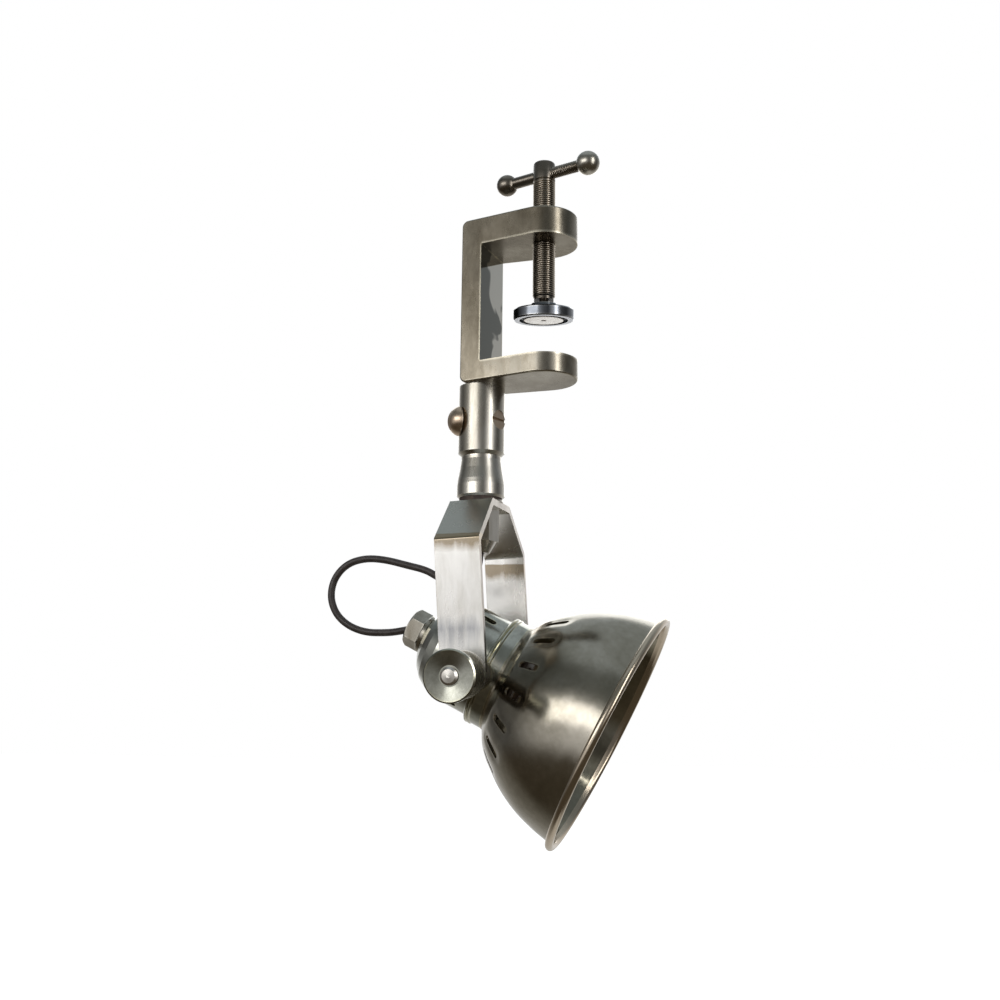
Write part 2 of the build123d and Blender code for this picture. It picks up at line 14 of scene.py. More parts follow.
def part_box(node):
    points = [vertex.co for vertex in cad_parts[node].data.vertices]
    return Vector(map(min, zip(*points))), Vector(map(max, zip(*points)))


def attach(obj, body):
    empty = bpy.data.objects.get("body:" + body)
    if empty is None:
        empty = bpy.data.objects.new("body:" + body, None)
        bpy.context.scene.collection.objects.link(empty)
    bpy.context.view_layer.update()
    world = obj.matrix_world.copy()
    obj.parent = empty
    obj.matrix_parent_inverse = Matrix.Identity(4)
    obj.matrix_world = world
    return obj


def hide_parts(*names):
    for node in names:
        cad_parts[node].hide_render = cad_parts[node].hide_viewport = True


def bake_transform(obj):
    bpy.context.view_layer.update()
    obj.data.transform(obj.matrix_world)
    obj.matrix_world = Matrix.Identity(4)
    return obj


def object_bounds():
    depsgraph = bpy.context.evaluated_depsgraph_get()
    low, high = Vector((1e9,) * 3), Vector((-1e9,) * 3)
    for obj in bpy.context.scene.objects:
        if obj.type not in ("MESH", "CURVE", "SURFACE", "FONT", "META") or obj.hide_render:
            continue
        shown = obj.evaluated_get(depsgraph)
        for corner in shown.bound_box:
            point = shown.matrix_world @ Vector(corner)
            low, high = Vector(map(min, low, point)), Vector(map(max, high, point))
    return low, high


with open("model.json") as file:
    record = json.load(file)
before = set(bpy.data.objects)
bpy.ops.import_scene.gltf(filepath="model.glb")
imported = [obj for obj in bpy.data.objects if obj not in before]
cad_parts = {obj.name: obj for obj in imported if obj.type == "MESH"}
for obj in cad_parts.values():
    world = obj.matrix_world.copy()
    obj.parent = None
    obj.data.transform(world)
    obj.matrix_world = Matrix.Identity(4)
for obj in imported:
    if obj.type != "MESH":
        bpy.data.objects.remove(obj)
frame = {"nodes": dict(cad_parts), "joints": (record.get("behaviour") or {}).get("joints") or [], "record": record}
cad_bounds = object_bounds()
scene = bpy.context.scene
MM = 0.001
ORIGIN = Vector((0, 0, 0))
AHEAD = Vector((1, 0, 0))
UP = Vector((0, 0, 1))

# ---------------------------------------------------------------- places taken from the record
joints = {j["name"]: j for j in frame["joints"]}
mounts = {m["name"]: m for m in frame["record"]["mounts"]}
STEM_AXIS = Vector(joints["yoke_swivel"]["pos_m"]) * Vector((1, 1, 0))
BAR_DIR = Vector(joints["bar_slide"]["axis"]).normalized()
PIVOT = Vector(joints["head_tilt"]["pos_m"])
HINGE_DIR = Vector(joints["head_tilt"]["axis"]).normalized()
HEAD_DIR = Vector(mounts["lamp_socket"]["axis"]).normalized()
SOCKET = Vector(mounts["lamp_socket"]["pos_m"])
HEAD_UP = HEAD_DIR.cross(HINGE_DIR)
HEAD_ORIGIN = SOCKET + HEAD_DIR * (PIVOT - SOCKET).dot(HEAD_DIR)
YOKE_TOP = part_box("yoke_strap")[1].z
YOKE_SLOPE_HEIGHT = 23.0 * MM
YOKE_BEND = Vector((0, 0, YOKE_TOP - YOKE_SLOPE_HEIGHT))


def frame_matrix(origin, x_dir, y_dir, z_dir):
    rows = Matrix((x_dir, y_dir, z_dir)).transposed().to_4x4()
    rows.translation = origin
    return rows


HEAD_FRAME = frame_matrix(HEAD_ORIGIN, -HEAD_UP, HINGE_DIR, HEAD_DIR)

# ---------------------------------------------------------------- camera
CAMERA_PLACE = Vector((0.18156, -0.47049, -0.16344))
CAMERA_YAW = 23.19
CAMERA_PITCH = 11.38
CAMERA_ROLL = 0.66
CAMERA_LENS_MM = 43.2
CAMERA_SENSOR_MM = 36.0


def add_camera():
    data = bpy.data.cameras.new("camera")
    data.lens = CAMERA_LENS_MM
    data.sensor_width = CAMERA_SENSOR_MM
    camera = bpy.data.objects.new("camera", data)
    scene.collection.objects.link(camera)
    turn = Matrix.Rotation(math.radians(CAMERA_YAW), 4, "Z")
    turn @= Matrix.Rotation(math.radians(90 + CAMERA_PITCH), 4, "X")
    turn @= Matrix.Rotation(math.radians(CAMERA_ROLL), 4, "Z")
    camera.matrix_world = Matrix.Translation(CAMERA_PLACE) @ turn
    scene.camera = camera


# ---------------------------------------------------------------- cord
CORD_R = 1.6 * MM
CORD_ROUTE = [  # outwards, sideways and height in the upright plane of the yoke, in mm
    (0.0, 0.0, -83.2),
    (0.0, 0.0, -87.0),
    (-1.3, 0.1, -90.6),
    (-3.7, 0.3, -93.5),
    (-6.9, 0.5, -95.4),
    (-10.6, 0.7, -96.2),
    (-14.4, 0.9, -95.7),
    (-19.5, 1.2, -93.0),
    (-24.6, 1.4, -90.0),
    (-33.5, 1.8, -87.7),
    (-42.9, 2.1, -85.1),
    (-52.7, 2.4, -84.0),
    (-61.6, 2.6, -86.3),
    (-67.5, 2.7, -92.8),
    (-69.0, 2.8, -101.2),
    (-66.0, 2.9, -108.9),
    (-59.9, 3.1, -114.2),
    (-52.0, 3.3, -117.0),
    (-43.7, 3.6, -117.2),
    (-37.7, 3.8, -116.8),
    (-31.7, 4.0, -115.6),
]
SWIVEL_REST = 10.6


def add_cord(material):
    """A NURBS line for the route, then a mesh tube along it."""
    turn = Matrix.Translation(STEM_AXIS) @ Matrix.Rotation(math.radians(SWIVEL_REST), 4, "Z")
    points = [turn @ (Vector(p) * MM) for p in CORD_ROUTE]
    curve = bpy.data.curves.new("cord_line", "CURVE")
    curve.dimensions = "3D"
    spline = curve.splines.new("NURBS")
    spline.points.add(len(points) - 1)
    for slot, p in zip(spline.points, points):
        slot.co = (*p, 1.0)
    spline.order_u = 3
    spline.use_endpoint_u = True
    spline.resolution_u = 8
    line = bpy.data.objects.new("cord_line", curve)
    path_mesh = bpy.data.meshes.new_from_object(line)
    curve.bevel_depth = CORD_R
    curve.bevel_resolution = 6
    curve.use_fill_caps = True
    cord = bpy.data.objects.new("cord", bpy.data.meshes.new_from_object(line))
    scene.collection.objects.link(cord)
    cord.data.materials.append(material)
    for face in cord.data.polygons:
        face.use_smooth = True
    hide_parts("cord_loop")
    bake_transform(cord)


# ---------------------------------------------------------------- studio
LIGHTS = (  # name, place, target, size, power
    ("key", (-0.40, -1.03, 0.19), (0, 0, -0.1), (0.84, 0.34), 2.3),
    ("side", (1.0, -0.40, 0.2), (0, 0, -0.05), (0.22, 0.9), 2.6),
    ("back", (-0.35, 0.9, 0.35), (0, 0, -0.05), (0.9, 0.7), 3.0),
)
FLOOR_DROP = 0.25
FLOOR_SIZE = 30
WORLD_STRENGTH = 0.85

# brightness round the horizon, as (share of a turn from the -X side, brightness)
HORIZON = (
    (0.00, 0.12),
    (0.05, 0.22),
    (0.09, 0.50),
    (0.13, 0.80),
    (0.26, 0.98),
    (0.30, 0.30),
    (0.36, 0.10),
    (0.40, 0.90),
    (0.46, 1.10),
    (0.49, 0.14),
    (0.57, 0.07),
    (0.64, 0.40),
    (0.72, 0.95),
    (0.88, 1.00),
    (0.94, 0.30),
    (1.00, 0.12),
)
OVERHEAD = (
    (0.00, (0.14, 0.155, 0.16)),
    (0.30, (0.20, 0.22, 0.22)),
    (0.58, (0.22, 0.25, 0.27)),
    (0.72, (0.55, 0.61, 0.65)),
    (0.90, (0.50, 0.56, 0.60)),
    (1.00, (0.14, 0.155, 0.16)),
)
BELOW = (
    (0.00, (0.085, 0.07, 0.05)),
    (0.40, (0.10, 0.085, 0.06)),
    (0.62, (0.085, 0.07, 0.05)),
    (0.74, (0.75, 0.74, 0.71)),
    (0.88, (0.60, 0.59, 0.56)),
    (1.00, (0.10, 0.085, 0.06)),
)
ZENITH = (0.50, 0.56, 0.60)
# heights, as the upward part of a direction, between which one band turns into the next
BELOW_TO_HORIZON = (-0.35, -0.08)
HORIZON_TO_OVERHEAD = (0.25, 0.60)
OVERHEAD_TO_ZENITH = (0.80, 0.92)


def add_area(name, place, target, size, power):
    light = bpy.data.lights.new(name, "AREA")
    light.shape = "RECTANGLE"
    light.size, light.size_y = size
    light.energy = power
    lamp = bpy.data.objects.new(name, light)
    scene.collection.objects.link(lamp)
    look = (Vector(target) - Vector(place)).to_track_quat("-Z", "Y")
    lamp.matrix_world = Matrix.Translation(place) @ look.to_matrix().to_4x4()


def add_world():
    """A surround of soft light and dark panels for reflections, seen as plain white by the camera."""
    world = bpy.data.worlds.new("studio")
    scene.world = world
    world.use_nodes = True
    nodes, links = world.node_tree.nodes, world.node_tree.links
    nodes.clear()
    coords = nodes.new("ShaderNodeTexCoord")
    apart = nodes.new("ShaderNodeSeparateXYZ")
    links.new(coords.outputs["Generated"], apart.inputs[0])
    bearing = nodes.new("ShaderNodeMath")
    bearing.operation = "ARCTAN2"
    links.new(apart.outputs["Y"], bearing.inputs[0])
    links.new(apart.outputs["X"], bearing.inputs[1])
    share = nodes.new("ShaderNodeMapRange")
    share.inputs["From Min"].default_value = -math.pi
    share.inputs["From Max"].default_value = math.pi
    links.new(bearing.outputs[0], share.inputs["Value"])

    def band(stops):
        node = nodes.new("ShaderNodeValToRGB")
        ramp(node, stops)
        links.new(share.outputs[0], node.inputs[0])
        return node.outputs[0]

    def step(heights, under, over):
        """Blends from one band to the next between two heights."""
        rise = nodes.new("ShaderNodeMapRange")
        rise.interpolation_type = "SMOOTHSTEP"
        rise.inputs["From Min"].default_value, rise.inputs["From Max"].default_value = heights
        links.new(apart.outputs["Z"], rise.inputs["Value"])
        blend = nodes.new("ShaderNodeMixRGB")
        for socket, value in zip(blend.inputs, (rise.outputs[0], under, over)):
            links.new(value, socket)
        return blend.outputs[0]

    horizon = band([(at, (v, v, v)) for at, v in HORIZON])
    colour = step(BELOW_TO_HORIZON, band(BELOW), horizon)
    colour = step(HORIZON_TO_OVERHEAD, colour, band(OVERHEAD))
    zenith = nodes.new("ShaderNodeRGB")
    zenith.outputs[0].default_value = (*ZENITH, 1)
    colour = step(OVERHEAD_TO_ZENITH, colour, zenith.outputs[0])
    surround = nodes.new("ShaderNodeBackground")
    surround.inputs["Strength"].default_value = WORLD_STRENGTH
    links.new(colour, surround.inputs["Color"])
    backdrop = nodes.new("ShaderNodeBackground")
    backdrop.inputs["Color"].default_value = (1, 1, 1, 1)
    rays = nodes.new("ShaderNodeLightPath")
    either = nodes.new("ShaderNodeMixShader")
    links.new(rays.outputs["Is Camera Ray"], either.inputs[0])
    links.new(surround.outputs[0], either.inputs[1])
    links.new(backdrop.outputs[0], either.inputs[2])
    out = nodes.new("ShaderNodeOutputWorld")
    links.new(either.outputs[0], out.inputs["Surface"])


def add_studio():
    """Soft lights, the surround, and a pale floor well below the lamp."""
    add_world()
    scene.view_settings.view_transform = "Standard"
    for light in LIGHTS:
        add_area(*light)

    lowest = cad_bounds[0][2]
    bpy.ops.mesh.primitive_plane_add(size=FLOOR_SIZE, location=(0, 0, lowest - FLOOR_DROP))
    floor = bpy.context.object
    floor.name = "floor"
    floor.visible_glossy = False
    floor.visible_diffuse = False
    pale = bpy.data.materials.new("pale_floor")
    pale.use_nodes = True
    paint = pale.node_tree.nodes["Principled BSDF"]
    paint.inputs["Base Color"].default_value = (0.95, 0.95, 0.95, 1)
    paint.inputs["Roughness"].default_value = 0.9
    paint.inputs["Specular IOR Level"].default_value = 0.0
    paint.inputs["Emission Color"].default_value = (1, 1, 1, 1)
    paint.inputs["Emission Strength"].default_value = 0.8
    floor.data.materials.append(pale)


# ---------------------------------------------------------------- materials
BLACK = (0, 0, 0)
WHITE = (1, 1, 1)
MIRROR_ROUGHNESS = 0.07
PLAIN_GRAIN = 300


def ramp(node, stops):
    """Fills a colour ramp from (place, colour) pairs."""
    elements = node.color_ramp.elements
    while len(elements) > 1:
        elements.remove(elements[-1])
    elements[0].position = stops[0][0]
    elements[0].color = (*stops[0][1], 1)
    for place, colour in stops[1:]:
        elements.new(place).color = (*colour, 1)


class Shader:
    """A small helper for wiring one object-space procedural material."""

    def __init__(self, name):
        self.material = bpy.data.materials.new(name)
        self.material.use_nodes = True
        self.nodes = self.material.node_tree.nodes
        self.links = self.material.node_tree.links
        self.bsdf = self.nodes["Principled BSDF"]
        self.coords = self.nodes.new("ShaderNodeTexCoord")

    def noise(self, scale, detail=4.0, roughness=0.55, stretch=(1, 1, 1), distortion=0.0):
        mapping = self.nodes.new("ShaderNodeMapping")
        mapping.inputs["Scale"].default_value = stretch
        self.links.new(self.coords.outputs["Object"], mapping.inputs["Vector"])
        node = self.nodes.new("ShaderNodeTexNoise")
        node.inputs["Scale"].default_value = scale
        node.inputs["Detail"].default_value = detail
        node.inputs["Roughness"].default_value = roughness
        node.inputs["Distortion"].default_value = distortion
        self.links.new(mapping.outputs[0], node.inputs["Vector"])
        return node.outputs["Fac"]

    def ramp(self, value, stops):
        node = self.nodes.new("ShaderNodeValToRGB")
        ramp(node, stops)
        self.links.new(value, node.inputs[0])
        return node.outputs[0]

    def rise(self, value, low, high):
        """0 below low, 1 above high."""
        return self.ramp(value, [(low, BLACK), (high, WHITE)])

    def fall(self, value, low, high):
        """1 below low, 0 above high."""
        return self.ramp(value, [(low, WHITE), (high, BLACK)])

    def mix(self, share, first, second):
        node = self.nodes.new("ShaderNodeMixRGB")
        for socket, value in zip(node.inputs, (share, first, second)):
            if isinstance(value, tuple):
                socket.default_value = (*value, 1)
            elif isinstance(value, float):
                socket.default_value = value
            else:
                self.links.new(value, socket)
        return node.outputs[0]

    def math(self, operation, first, second=0.0):
        node = self.nodes.new("ShaderNodeMath")
        node.operation = operation
        node.use_clamp = operation == "ADD"
        for socket, value in zip(node.inputs, (first, second)):
            if isinstance(value, float):
                socket.default_value = value
            else:
                self.links.new(value, socket)
        return node.outputs[0]

    def times(self, first, *others):
        for other in others:
            first = self.math("MULTIPLY", first, other)
        return first

    def edges(self, width, low, high):
        """1 on worn edges and corners, 0 on open faces."""
        bevel = self.nodes.new("ShaderNodeBevel")
        bevel.samples = 6
        bevel.inputs["Radius"].default_value = width
        geometry = self.nodes.new("ShaderNodeNewGeometry")
        dot = self.nodes.new("ShaderNodeVectorMath")
        dot.operation = "DOT_PRODUCT"
        self.links.new(bevel.outputs[0], dot.inputs[0])
        self.links.new(geometry.outputs["Normal"], dot.inputs[1])
        return self.fall(dot.outputs["Value"], low, high)

    def normal(self):
        """The three parts of the surface's direction."""
        apart = self.nodes.new("ShaderNodeSeparateXYZ")
        self.links.new(self.coords.outputs["Normal"], apart.inputs[0])
        return apart.outputs

    def place(self):
        """The three object-space coordinates."""
        apart = self.nodes.new("ShaderNodeSeparateXYZ")
        self.links.new(self.coords.outputs["Object"], apart.inputs[0])
        return apart.outputs

    def facing(self, direction):
        """How far the surface faces a fixed direction, 1 when straight at it."""
        node = self.nodes.new("ShaderNodeVectorMath")
        node.operation = "DOT_PRODUCT"
        self.links.new(self.coords.outputs["Normal"], node.inputs[0])
        node.inputs[1].default_value = direction
        return node.outputs["Value"]

    def near(self, value, places, width):
        """1 close to any of the places in mm, fading to 0 at the width."""
        most = 0.0
        for at in places:
            gap = self.math("ABSOLUTE", self.math("SUBTRACT", value, at * MM))
            close = self.math("SUBTRACT", 1.0, self.math("DIVIDE", gap, width * MM))
            most = self.math("MAXIMUM", most, close)
        return most

    def along(self, origin, direction, low, high):
        """0 to 1 between two distances along a line in object space."""
        offset = self.nodes.new("ShaderNodeVectorMath")
        offset.operation = "SUBTRACT"
        offset.inputs[1].default_value = origin
        self.links.new(self.coords.outputs["Object"], offset.inputs[0])
        dot = self.nodes.new("ShaderNodeVectorMath")
        dot.operation = "DOT_PRODUCT"
        dot.inputs[1].default_value = direction
        self.links.new(offset.outputs[0], dot.inputs[0])
        share = self.nodes.new("ShaderNodeMapRange")
        share.inputs["From Min"].default_value = low * MM
        share.inputs["From Max"].default_value = high * MM
        self.links.new(dot.outputs["Value"], share.inputs["Value"])
        return share.outputs[0]

    def bump(self, value, strength, distance):
        node = self.nodes.new("ShaderNodeBump")
        node.inputs["Strength"].default_value = strength
        node.inputs["Distance"].default_value = distance
        self.links.new(value, node.inputs["Height"])
        self.links.new(node.outputs[0], self.bsdf.inputs["Normal"])

    def surface(self, colour, roughness, metallic=1.0):
        for name, value in (("Base Color", colour), ("Roughness", roughness)):
            self.links.new(value, self.bsdf.inputs[name])
        self.bsdf.inputs["Metallic"].default_value = metallic
        return self.material


def patina_metal(
    name, tones, rough, stretch=(1, 1, 1), stain=None, edge_width=1.3, wear=0.85, polish=None
):
    """Antique plated metal: soft patina, fine brushing, and brighter or darker worn edges.

    The tones are dark, middle and light patina, then the worn edges. A stain function lays more
    colour over the patina, under the worn edges. A polish function gives the mask of a mirror face.
    """
    dark, middle, light, edge = tones
    s = Shader(name)
    clouds = s.noise(26, 5, 0.55, stretch, 0.3)
    grain = s.noise(330, 4, 0.65, stretch)
    patina = s.math("ADD", s.times(clouds, 0.78), s.times(grain, 0.22))
    tint = s.ramp(patina, [(0.32, dark), (0.48, middle), (0.64, light)])
    if stain:
        tint = stain(s, tint)
    worn = s.edges(edge_width * MM, 0.86, 0.985)
    broken = s.rise(s.noise(210, 4, 0.6), 0.34, 0.58)
    tint = s.mix(s.times(worn, broken, wear), tint, edge)
    low, high = rough
    gloss = s.ramp(s.noise(90, 5, 0.6, stretch), [(0.32, (low,) * 3), (0.68, (high,) * 3)])
    if polish:
        gloss = s.mix(polish(s), gloss, (MIRROR_ROUGHNESS,) * 3)
    scratches = s.noise(900, 2, 0.5, (1, 1, 0.06))
    s.bump(s.math("ADD", s.times(clouds, 0.5), s.times(scratches, 0.12)), 0.06, 0.0004)
    return s.surface(tint, gloss)


def plain_finish(name, dark, light, rough):
    """Moulded or rubbery finish with slight mottling."""
    s = Shader(name)
    tint = s.ramp(s.noise(PLAIN_GRAIN, 4, 0.6), [(0.35, dark), (0.65, light)])
    low, high = rough
    gloss = s.ramp(s.noise(PLAIN_GRAIN * 0.5, 3, 0.5), [(0.35, (low,) * 3), (0.65, (high,) * 3)])
    s.bump(s.noise(PLAIN_GRAIN * 3, 2, 0.5), 0.08, 0.0002)
    return s.surface(tint, gloss, metallic=0.0)


# the clamp frame's outline in its front view, in mm: heights of the jaws' faces, then sideways places
JAW_OUTER = (66.9, -8.9)
JAW_INNER = (54.4, 0.0)
COLUMN_OUTER = -35.2
COLUMN_INNER = -25.2
WORN_GOLD = (0.66, 0.61, 0.50)


def column_inside(s):
    """The column's inner face."""
    facing = s.rise(s.normal()[0], 0.90, 0.97)
    return s.times(facing, s.along(ORIGIN, -AHEAD, 20.0, 22.0))


def frame_wear_and_painted_reflection(s, tint):
    """Plate rubbed through to pale metal along the clamp's edges, and a painted reflection, dark on one side and
    light on the other, on the inner column face.
    """
    x, y, z = s.place()
    nx, _, nz = s.normal()
    upright_face = s.fall(s.math("ABSOLUTE", nz), 0.75, 0.95)
    front_face = s.fall(s.math("ABSOLUTE", nx), 0.75, 0.95)
    beyond_column = s.along(ORIGIN, AHEAD, COLUMN_INNER - 0.3, COLUMN_INNER + 0.3)
    throat = s.rise(s.near(z, [JAW_INNER[0] / 2], JAW_INNER[0] / 2), 0.0, 0.03)
    inner_level = s.times(s.near(z, JAW_INNER, 1.8), beyond_column)
    level = s.times(s.math("MAXIMUM", s.near(z, JAW_OUTER, 1.6), inner_level), upright_face)
    inner_side = s.times(s.near(x, [COLUMN_INNER], 1.3), throat)
    side = s.times(s.math("MAXIMUM", s.near(x, [COLUMN_OUTER], 1.3), inner_side), front_face)
    patchy = s.math("SUBTRACT", s.noise(120, 5, 0.65), 0.66)
    rubbed = s.rise(s.math("ADD", s.math("MAXIMUM", level, side), patchy), 0.25, 0.75)
    tint = s.mix(s.times(rubbed, 0.7), tint, WORN_GOLD)
    # painted reflection: dark and light bands across the inner column face stand in for what its mirror face
    # reflects
    wave = s.math("SUBTRACT", s.noise(48, 2, 0.5, (1, 1, 0.7), 0.8), 0.5)
    across = s.math("ADD", s.times(y, 1.0 / (46.0 * MM)), s.times(wave, 1.6))
    painted_reflection = s.ramp(s.math("ADD", across, 0.5), [(0.50, (0.075, 0.08, 0.07)), (0.56, (0.42, 0.41, 0.37))])
    return s.mix(column_inside(s), tint, painted_reflection)


def screw_painted_light(s, tint):
    """Painted highlights on the thread crests and painted shade in the thread roots of the clamp screw."""
    flat = s.nodes.new("ShaderNodeVectorMath")
    flat.operation = "MULTIPLY"
    flat.inputs[1].default_value = (1, 1, 0)
    s.links.new(s.coords.outputs["Object"], flat.inputs[0])
    length = s.nodes.new("ShaderNodeVectorMath")
    length.operation = "LENGTH"
    s.links.new(flat.outputs[0], length.inputs[0])
    below_head = s.along(ORIGIN, -UP, -SCREW_HIGH / MM, -SCREW_HIGH / MM + 0.3)
    share = s.math("DIVIDE", length.outputs["Value"], 2 * SCREW_R)
    painted_crest_highlight = s.ramp(share, [(0.465, BLACK), (0.49, WHITE), (0.51, WHITE), (0.52, BLACK)])
    painted_root_shade = s.ramp(share, [(0.43, BLACK), (0.44, WHITE), (0.455, WHITE), (0.47, BLACK)])
    # painted highlight on the crests, then painted shade in the roots
    tint = s.mix(s.times(painted_crest_highlight, below_head, 0.85), tint, (0.62, 0.55, 0.46))
    return s.mix(s.times(painted_root_shade, below_head, 0.7), tint, (0.05, 0.04, 0.03))


def strap_marks_and_painted_shade(s, tint):
    """Tan edges, grey-green painted shade on the sloping shoulders, brown run marks below the bends, and blue-grey
    lower ends.
    """
    # painted shade: the sloping shoulders are tinted grey-green for the dim light they reflect
    painted_slope_shade = s.ramp(s.normal()[2], [(0.25, BLACK), (0.35, WHITE), (0.90, WHITE), (0.97, BLACK)])
    tint = s.mix(s.times(painted_slope_shade, 0.9), tint, (0.36, 0.355, 0.305))
    facing = s.math("ABSOLUTE", s.facing(HINGE_DIR.cross(UP)))
    tint = s.mix(s.rise(facing, 0.85, 0.97), tint, (0.11, 0.08, 0.045))
    streaks = s.noise(240, 3, 0.6, (1, 1, 0.10))
    below_bend = s.along(YOKE_BEND, -UP, -1.5, 8.0)
    run_marks = s.ramp(below_bend, [(0.0, BLACK), (0.10, WHITE), (1.0, BLACK)])
    brown = s.rise(s.times(run_marks, streaks), 0.06, 0.30)
    tint = s.mix(s.times(brown, 0.8), tint, (0.24, 0.17, 0.08))
    near_end = s.along(YOKE_BEND, -UP, 27.0, 47.0)
    cast = s.ramp(near_end, [(0.0, BLACK), (0.5, WHITE), (1.0, (0.35, 0.35, 0.35))])
    grey = s.rise(s.times(cast, streaks), 0.22, 0.60)
    return s.mix(s.times(grey, 0.85), tint, (0.30, 0.31, 0.34))


def rim_stain(s, tint):
    """The shade's rolled bead is rubbed through to a pale gold."""
    on_bead = s.along(HEAD_ORIGIN, HEAD_DIR, RIM_S - 2.2, RIM_S - 1.2)
    return s.mix(s.times(on_bead, 0.8), tint, (0.62, 0.52, 0.40))


BRUSHED_UPRIGHT = (1, 1, 0.22)
METALS = {
    "frame_antique": dict(
        tones=((0.12, 0.10, 0.07), (0.245, 0.215, 0.165), (0.38, 0.35, 0.29), (0.66, 0.60, 0.46)),
        rough=(0.20, 0.36),
        stretch=(1, 1, 0.5),
        stain=frame_wear_and_painted_reflection,
        polish=column_inside,
    ),
    "nickel": dict(
        tones=((0.22, 0.19, 0.14), (0.46, 0.43, 0.37), (0.68, 0.66, 0.61), (0.84, 0.80, 0.71)),
        rough=(0.20, 0.34),
        stretch=BRUSHED_UPRIGHT,
    ),
    "dark_steel": dict(
        tones=((0.11, 0.09, 0.07), (0.19, 0.165, 0.135), (0.29, 0.26, 0.22), (0.46, 0.41, 0.34)),
        rough=(0.20, 0.34),
        stain=screw_painted_light,
        wear=0.5,
    ),
    "pale_silver": dict(
        tones=((0.44, 0.40, 0.34), (0.68, 0.65, 0.60), (0.82, 0.80, 0.76), (0.62, 0.52, 0.42)),
        rough=(0.26, 0.38),
    ),
    "strap_silver": dict(
        tones=((0.66, 0.63, 0.57), (0.89, 0.87, 0.835), (0.96, 0.945, 0.915), (0.34, 0.27, 0.19)),
        rough=(0.20, 0.30),
        stretch=BRUSHED_UPRIGHT,
        stain=strap_marks_and_painted_shade,
        edge_width=0.5,
    ),
    "blued_steel": dict(
        tones=((0.13, 0.14, 0.155), (0.22, 0.235, 0.26), (0.34, 0.35, 0.37), (0.80, 0.78, 0.74)),
        rough=(0.14, 0.24),
    ),
    "green_nickel": dict(
        tones=((0.18, 0.18, 0.14), (0.37, 0.37, 0.32), (0.58, 0.58, 0.52), (0.74, 0.68, 0.46)),
        rough=(0.11, 0.22),
    ),
    "shade_bronze": dict(
        tones=((0.225, 0.202, 0.152), (0.335, 0.307, 0.248), (0.47, 0.435, 0.37), (0.66, 0.60, 0.47)),
        rough=(0.17, 0.25),
        stain=rim_stain,
    ),
    # inside of the shade: darker than the outside, partly its own darker finish and partly painted shade inside
    # the bowl
    "bowl_inside_painted_shade": dict(
        tones=((0.14, 0.125, 0.085), (0.28, 0.255, 0.19), (0.42, 0.39, 0.31), (0.5, 0.46, 0.36)),
        rough=(0.08, 0.15),
    ),
    "copper_screw": dict(
        tones=((0.36, 0.26, 0.17), (0.60, 0.46, 0.34), (0.74, 0.61, 0.48), (0.74, 0.66, 0.54)),
        rough=(0.24, 0.40),
    ),
    "brass": dict(
        tones=((0.50, 0.36, 0.14), (0.75, 0.58, 0.28), (0.86, 0.72, 0.42), (0.92, 0.82, 0.56)),
        rough=(0.18, 0.30),
    ),
}
MOULDED = {  # dark, light, roughness
    "fibre": ((0.05, 0.035, 0.03), (0.11, 0.08, 0.06), (0.7, 0.9)),
    "rubber": ((0.02, 0.02, 0.02), (0.05, 0.05, 0.05), (0.5, 0.7)),
    "cord": ((0.045, 0.035, 0.032), (0.075, 0.062, 0.056), (0.36, 0.50)),
    "phenolic": ((0.03, 0.02, 0.015), (0.07, 0.045, 0.03), (0.3, 0.45)),
}


def make_materials():
    metals = {name: patina_metal(name, **look) for name, look in METALS.items()}
    moulded = {name: plain_finish(name, *look) for name, look in MOULDED.items()}
    return metals | moulded


def dress_cad_nodes(materials):
    """Each CAD node takes the finish of its own slot in the record."""
    slots = {part["node"]: part["material_slot"] for part in frame["record"]["subparts"]}
    for name, node in frame["nodes"].items():
        node.data.materials.clear()
        node.data.materials.append(materials[slots[name]])


# ---------------------------------------------------------------- detailed meshes
def mesh_piece(name, rows, place, material, body, closed_ends=True):
    """A mesh skinned over rings of points, riding on a body."""
    bm = bmesh.new()
    rings = [[bm.verts.new(place @ p) for p in row] for row in rows]
    count = len(rings[0])
    for low, high in zip(rings, rings[1:]):
        for k in range(count):
            n = (k + 1) % count
            bm.faces.new((low[k], low[n], high[n], high[k]))
    if closed_ends:
        bm.faces.new(rings[0][::-1])
        bm.faces.new(rings[-1])
    bmesh.ops.recalc_face_normals(bm, faces=bm.faces)
    mesh = bpy.data.meshes.new(name)
    bm.to_mesh(mesh)
    bm.free()
    piece = bpy.data.objects.new(name, mesh)
    scene.collection.objects.link(piece)
    mesh.materials.append(material)
    for face in mesh.polygons:
        face.use_smooth = True
    mesh.set_sharp_from_angle(angle=math.radians(38))
    if body:
        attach(piece, body)
    return piece


def ring(radius_at, z, count):
    """Points round the axis, at a radius that a function gives for an angle and a height."""
    points = []
    for k in range(count):
        a = 2 * math.pi * k / count
        r = radius_at(a, z)
        points.append(Vector((r * math.cos(a), r * math.sin(a), z)))
    return points


def round_ring(radius, z, count):
    return ring(lambda angle, height: radius, z, count)


def turned_rings(profile, count):
    """Round rings for (radius, height) pairs in mm."""
    return [round_ring(radius * MM, z * MM, count) for radius, z in profile]


def thread_radius(major, depth, pitch):
    """Radius of a helical V thread with narrow flat crests and roots."""

    def radius(angle, z):
        phase = (z / pitch - angle / (2 * math.pi)) % 1.0
        cut = min(max(1.3 - abs(phase - 0.5) * 3.2, 0.0), 1.0)
        return major - depth * cut

    return radius


SCREW_R = 5.0 * MM
SCREW_PITCH = 1.0 * MM
SCREW_THREAD_DEPTH = 0.55 * MM
SCREW_LOW = 29.4 * MM
SCREW_HIGH = 84.2 * MM
SCREW_BALL_R = 3.0 * MM
SCREW_COUNT = 40
RINGS_PER_PITCH = 9
LEAD_IN = 0.8 * MM  # the thread's first turn grows to its full radius over this height


